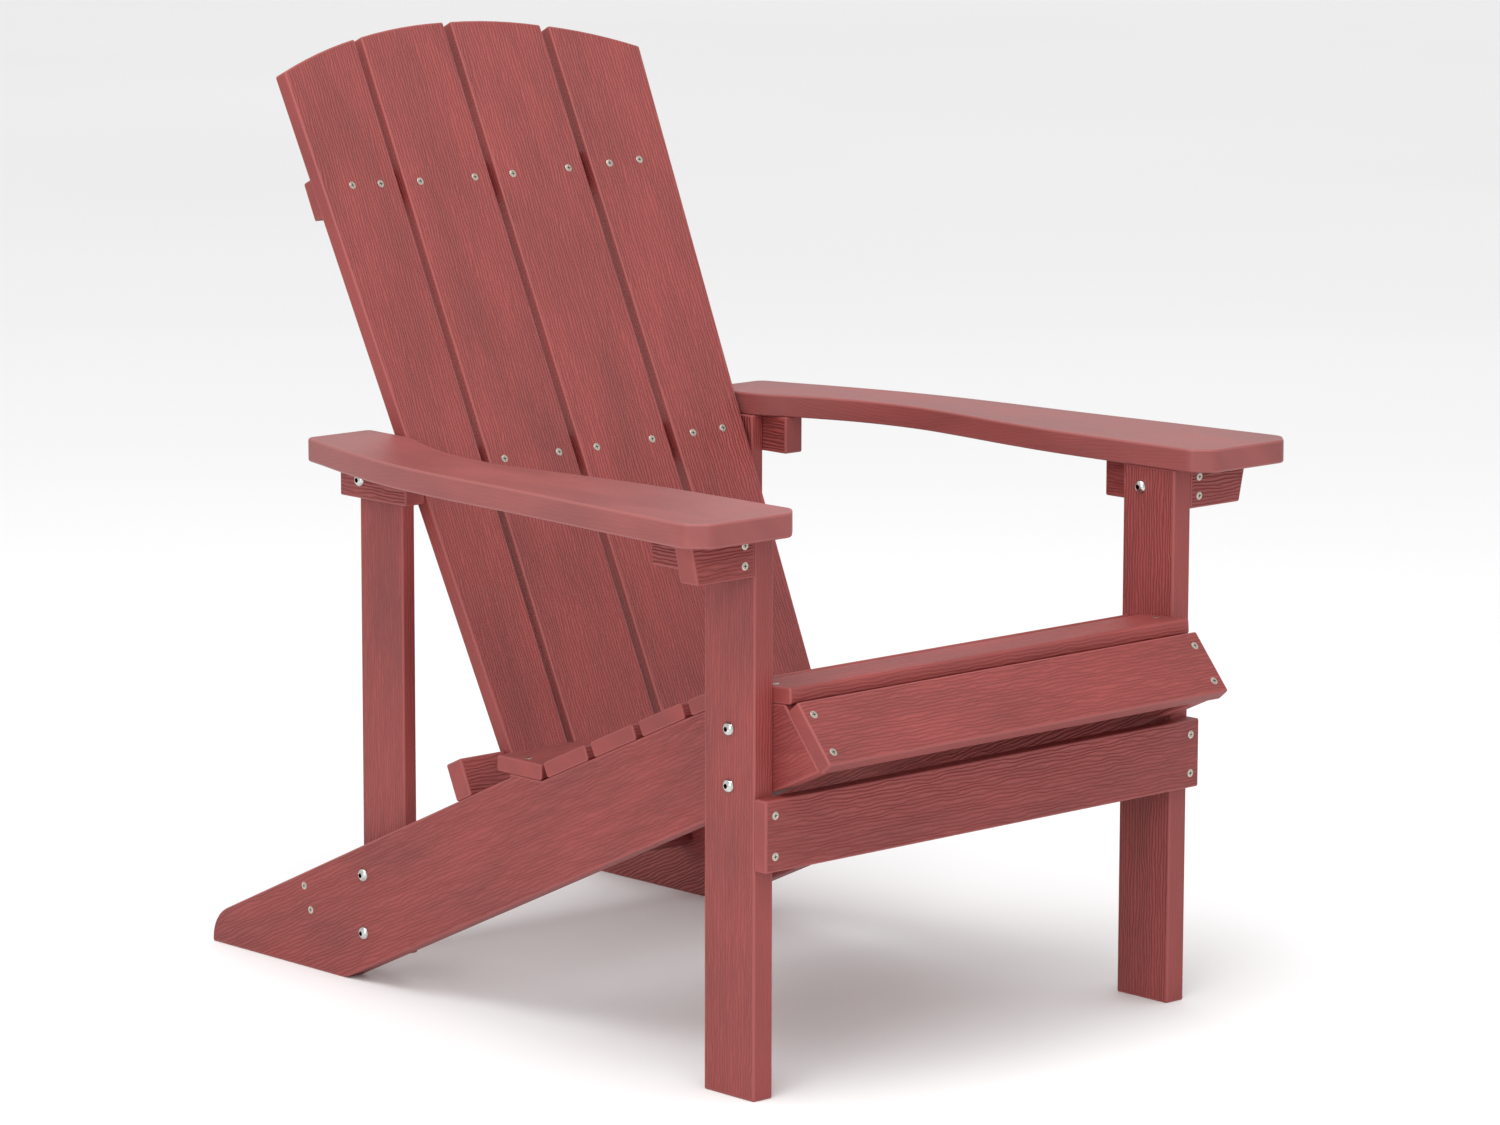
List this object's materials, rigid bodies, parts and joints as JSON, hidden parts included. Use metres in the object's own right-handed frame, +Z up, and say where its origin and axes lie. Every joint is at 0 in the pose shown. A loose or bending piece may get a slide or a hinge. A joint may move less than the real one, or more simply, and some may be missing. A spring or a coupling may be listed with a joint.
{
  "type": "adirondack chair",
  "caption": "Fixed adirondack chair: slatted back with an arched top and a shallow hollow curve, curved slatted seat, wide flat arms, sloped stringers that end as rear feet, sloped apron at the front.",
  "frame": {"origin": "on the ground, in the middle of the overall width and of the overall depth", "axes": "+Z up; the chair faces -Y and its feet run back along +Y; X across, with the left side, as seen from the front, at -X"},
  "size_m": [0.754, 0.8728, 0.8874],
  "materials": {
    "board": "red recycled-plastic lumber with an embossed wood grain",
    "arm_board": "the same lumber, smoother and slightly paler on the arms",
    "bolt_steel": "bright stainless steel",
    "screw_steel": "plain steel, slightly dulled"
  },
  "bodies": {
    "root": {"back_slat_outer_left": "board", "back_slat_inner_left": "board", "back_slat_inner_right": "board", "back_slat_outer_right": "board", "upper_back_rail": "board", "middle_back_rail": "board", "lower_back_rail": "board", "seat_slat_1": "board", "seat_slat_2": "board", "seat_slat_3": "board", "seat_slat_4": "board", "seat_slat_5": "board", "seat_slat_6": "board", "stringer_left": "board", "stringer_right": "board", "front_leg_left": "board", "front_leg_right": "board", "rear_post_left": "board", "rear_post_right": "board", "arm_left": "arm_board", "arm_right": "arm_board", "front_arm_block_left": "board", "front_arm_block_right": "board", "rear_arm_block_left": "board", "rear_arm_block_right": "board", "arm_bracket_left": "board", "arm_bracket_right": "board", "front_apron": "board", "front_cross_rail": "board", "rear_cross_rail": "board", "leg_bolts": "bolt_steel", "leg_nuts": "bolt_steel", "post_bolts": "bolt_steel", "post_nuts": "bolt_steel", "front_arm_bolts": "bolt_steel", "front_arm_nuts": "bolt_steel", "rear_arm_bolts": "bolt_steel", "upper_back_screws": "screw_steel", "middle_back_screws": "screw_steel", "lower_back_screws": "screw_steel", "lower_rail_screws": "screw_steel", "seat_screws": "screw_steel", "apron_screws": "screw_steel", "front_rail_screws": "screw_steel", "rear_rail_screws": "screw_steel", "arm_bracket_screws": "screw_steel", "arm_screws": "screw_steel"}
  },
  "joints": []
}
